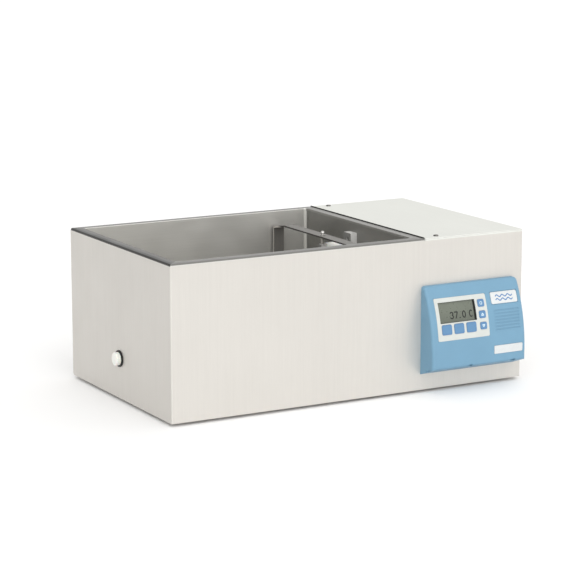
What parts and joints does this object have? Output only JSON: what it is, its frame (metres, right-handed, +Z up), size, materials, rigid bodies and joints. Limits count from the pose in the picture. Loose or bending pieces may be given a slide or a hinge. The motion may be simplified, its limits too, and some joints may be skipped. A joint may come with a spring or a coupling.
{
  "type": "shaking water bath",
  "caption": "Bench-top shaking water bath: open steel tank with a tray on a crank drive, a screw drain cap and a control pod with display and keys.",
  "frame": {"origin": "under the middle of the whole object's box, on the plane its feet stand on", "axes": "+X along the casing from the drain end to the drive end, +Y from the front with the control pod to the back, +Z up"},
  "size_m": [0.6294, 0.3984, 0.246],
  "materials": {
    "casing_steel": "fine brushed, satin",
    "tank_steel": "fine brushed, satin",
    "machined_steel": "turned and polished",
    "galvanised_steel": "galvanised sheet",
    "black_rubber": "matt",
    "white_nylon": "satin",
    "blue_shell": "fine moulded texture",
    "blue_keys": "soft rubber",
    "pale_overlay": "satin film",
    "display_glass": "reflective display",
    "black_plastic": "moulded",
    "foam": "open foam",
    "heater_foil": "silicone mat",
    "circuit_board": "solder mask",
    "motor_paint": "satin paint",
    "white_label": "printed film, blank"
  },
  "bodies": {
    "cabinet": {"casing_wrap": "casing_steel", "back_panel": "casing_steel", "base_pan": "casing_steel", "rubber_feet": "black_rubber", "casing_screws": "machined_steel", "top_cover": "casing_steel", "cover_screws": "machined_steel", "cover_gasket": "black_rubber", "bulkhead": "galvanised_steel", "tank": "tank_steel", "tank_insulation": "foam", "heater_pad": "heater_foil", "temperature_probe": "machined_steel", "wheel_rails": "tank_steel", "guide_bracket": "tank_steel", "drain_spigot": "machined_steel", "drain_nut": "machined_steel", "drain_collar": "black_rubber", "bearing_housing": "galvanised_steel", "rod_bush": "white_nylon", "motor_stand": "galvanised_steel", "gear_motor": "motor_paint", "control_board": "circuit_board", "board_standoffs": "machined_steel", "power_inlet": "black_plastic", "switch_frame": "black_plastic", "pod_housing": "blue_shell", "pod_back_plate": "blue_shell", "pod_grommet": "black_rubber", "keypad_overlay": "pale_overlay", "display_frame": "black_plastic", "display_pane": "display_glass", "display_board": "circuit_board", "pod_badge": "white_label", "pod_label": "white_label"},
    "carriage": {"tray": "tank_steel", "yoke": "tank_steel", "yoke_screws": "machined_steel", "drive_pin": "machined_steel"},
    "left_wheelset": {"left_axle": "machined_steel", "left_wheels": "white_nylon"},
    "right_wheelset": {"right_axle": "machined_steel", "right_wheels": "white_nylon"},
    "drive_slider": {"drive_block": "machined_steel", "drive_rod": "machined_steel", "rod_sleeve": "white_nylon", "crosshead": "galvanised_steel", "crosshead_pin": "machined_steel"},
    "link": {"connecting_rod": "galvanised_steel"},
    "crank": {"crank_disc": "machined_steel", "crank_shaft": "machined_steel"},
    "drain_seal": {"drain_seal": "black_rubber"},
    "drain_cap": {"drain_cap": "white_nylon"},
    "rocker": {"switch_rocker": "black_plastic"},
    "soft_key_1": {"soft_key_1": "blue_keys"},
    "soft_key_2": {"soft_key_2": "blue_keys"},
    "soft_key_3": {"soft_key_3": "blue_keys"},
    "down_key": {"down_key": "blue_keys"},
    "up_key": {"up_key": "blue_keys"},
    "power_key": {"power_key": "blue_keys"}
  },
  "joints": [
    {"name": "shake", "type": "slide", "parent": "cabinet", "child": "carriage", "axis": [1, 0, 0], "range_m": [-0.009, 0.009]},
    {"name": "drive_stroke", "type": "slide", "parent": "cabinet", "child": "drive_slider", "axis": [1, 0, 0], "range_m": [-0.009, 0.009]},
    {"name": "left_wheel_roll", "type": "hinge", "parent": "carriage", "child": "left_wheelset", "pos_m": [-0.20525, 0.01675, 0.0608], "axis": [0, 1, 0], "range_deg": [-57.3, 57.3]},
    {"name": "right_wheel_roll", "type": "hinge", "parent": "carriage", "child": "right_wheelset", "pos_m": [0.04075, 0.01675, 0.0608], "axis": [0, 1, 0], "range_deg": [-57.3, 57.3]},
    {"name": "crank_turn", "type": "hinge", "parent": "cabinet", "child": "crank", "pos_m": [0.24275, 0.02775, 0.19], "axis": [0, 0, 1], "range_deg": [-90, 90]},
    {"name": "link_swing", "type": "hinge", "parent": "drive_slider", "child": "link", "pos_m": [0.18275, 0.02775, 0.206], "axis": [0, 0, 1], "range_deg": [-17.2, 0]},
    {"name": "cap_travel", "type": "slide", "parent": "cabinet", "child": "drain_seal", "axis": [-1, 0, 0], "range_m": [0, 0.006]},
    {"name": "cap_turn", "type": "hinge", "parent": "drain_seal", "child": "drain_cap", "pos_m": [-0.31025, 0.01625, 0.068], "axis": [-1, 0, 0], "range_deg": [0, 1080]},
    {"name": "mains_rocker", "type": "hinge", "parent": "cabinet", "child": "rocker", "pos_m": [0.20475, 0.19225, 0.06], "axis": [1, 0, 0], "range_deg": [0, 16]},
    {"name": "soft_key_1_press", "type": "slide", "parent": "cabinet", "child": "soft_key_1", "axis": [0, 1, 0], "range_m": [0, 0.0005], "stiffness_N_per_m": 600},
    {"name": "soft_key_2_press", "type": "slide", "parent": "cabinet", "child": "soft_key_2", "axis": [0, 1, 0], "range_m": [0, 0.0005], "stiffness_N_per_m": 600},
    {"name": "soft_key_3_press", "type": "slide", "parent": "cabinet", "child": "soft_key_3", "axis": [0, 1, 0], "range_m": [0, 0.0005], "stiffness_N_per_m": 600},
    {"name": "down_key_press", "type": "slide", "parent": "cabinet", "child": "down_key", "axis": [0, 1, 0], "range_m": [0, 0.0005], "stiffness_N_per_m": 600},
    {"name": "up_key_press", "type": "slide", "parent": "cabinet", "child": "up_key", "axis": [0, 1, 0], "range_m": [0, 0.0005], "stiffness_N_per_m": 600},
    {"name": "power_key_press", "type": "slide", "parent": "cabinet", "child": "power_key", "axis": [0, 1, 0], "range_m": [0, 0.0005], "stiffness_N_per_m": 600}
  ],
  "couplings": [
    {"joint": "drive_stroke", "follows": "shake", "ratio": 1},
    {"joint": "left_wheel_roll", "follows": "shake", "rad_per_m": 111.1},
    {"joint": "right_wheel_roll", "follows": "shake", "rad_per_m": 111.1},
    {"joint": "crank_turn", "follows": "shake", "rad_per_m": -174.5},
    {"joint": "cap_turn", "follows": "cap_travel", "rad_per_m": 3141.6}
  ]
}
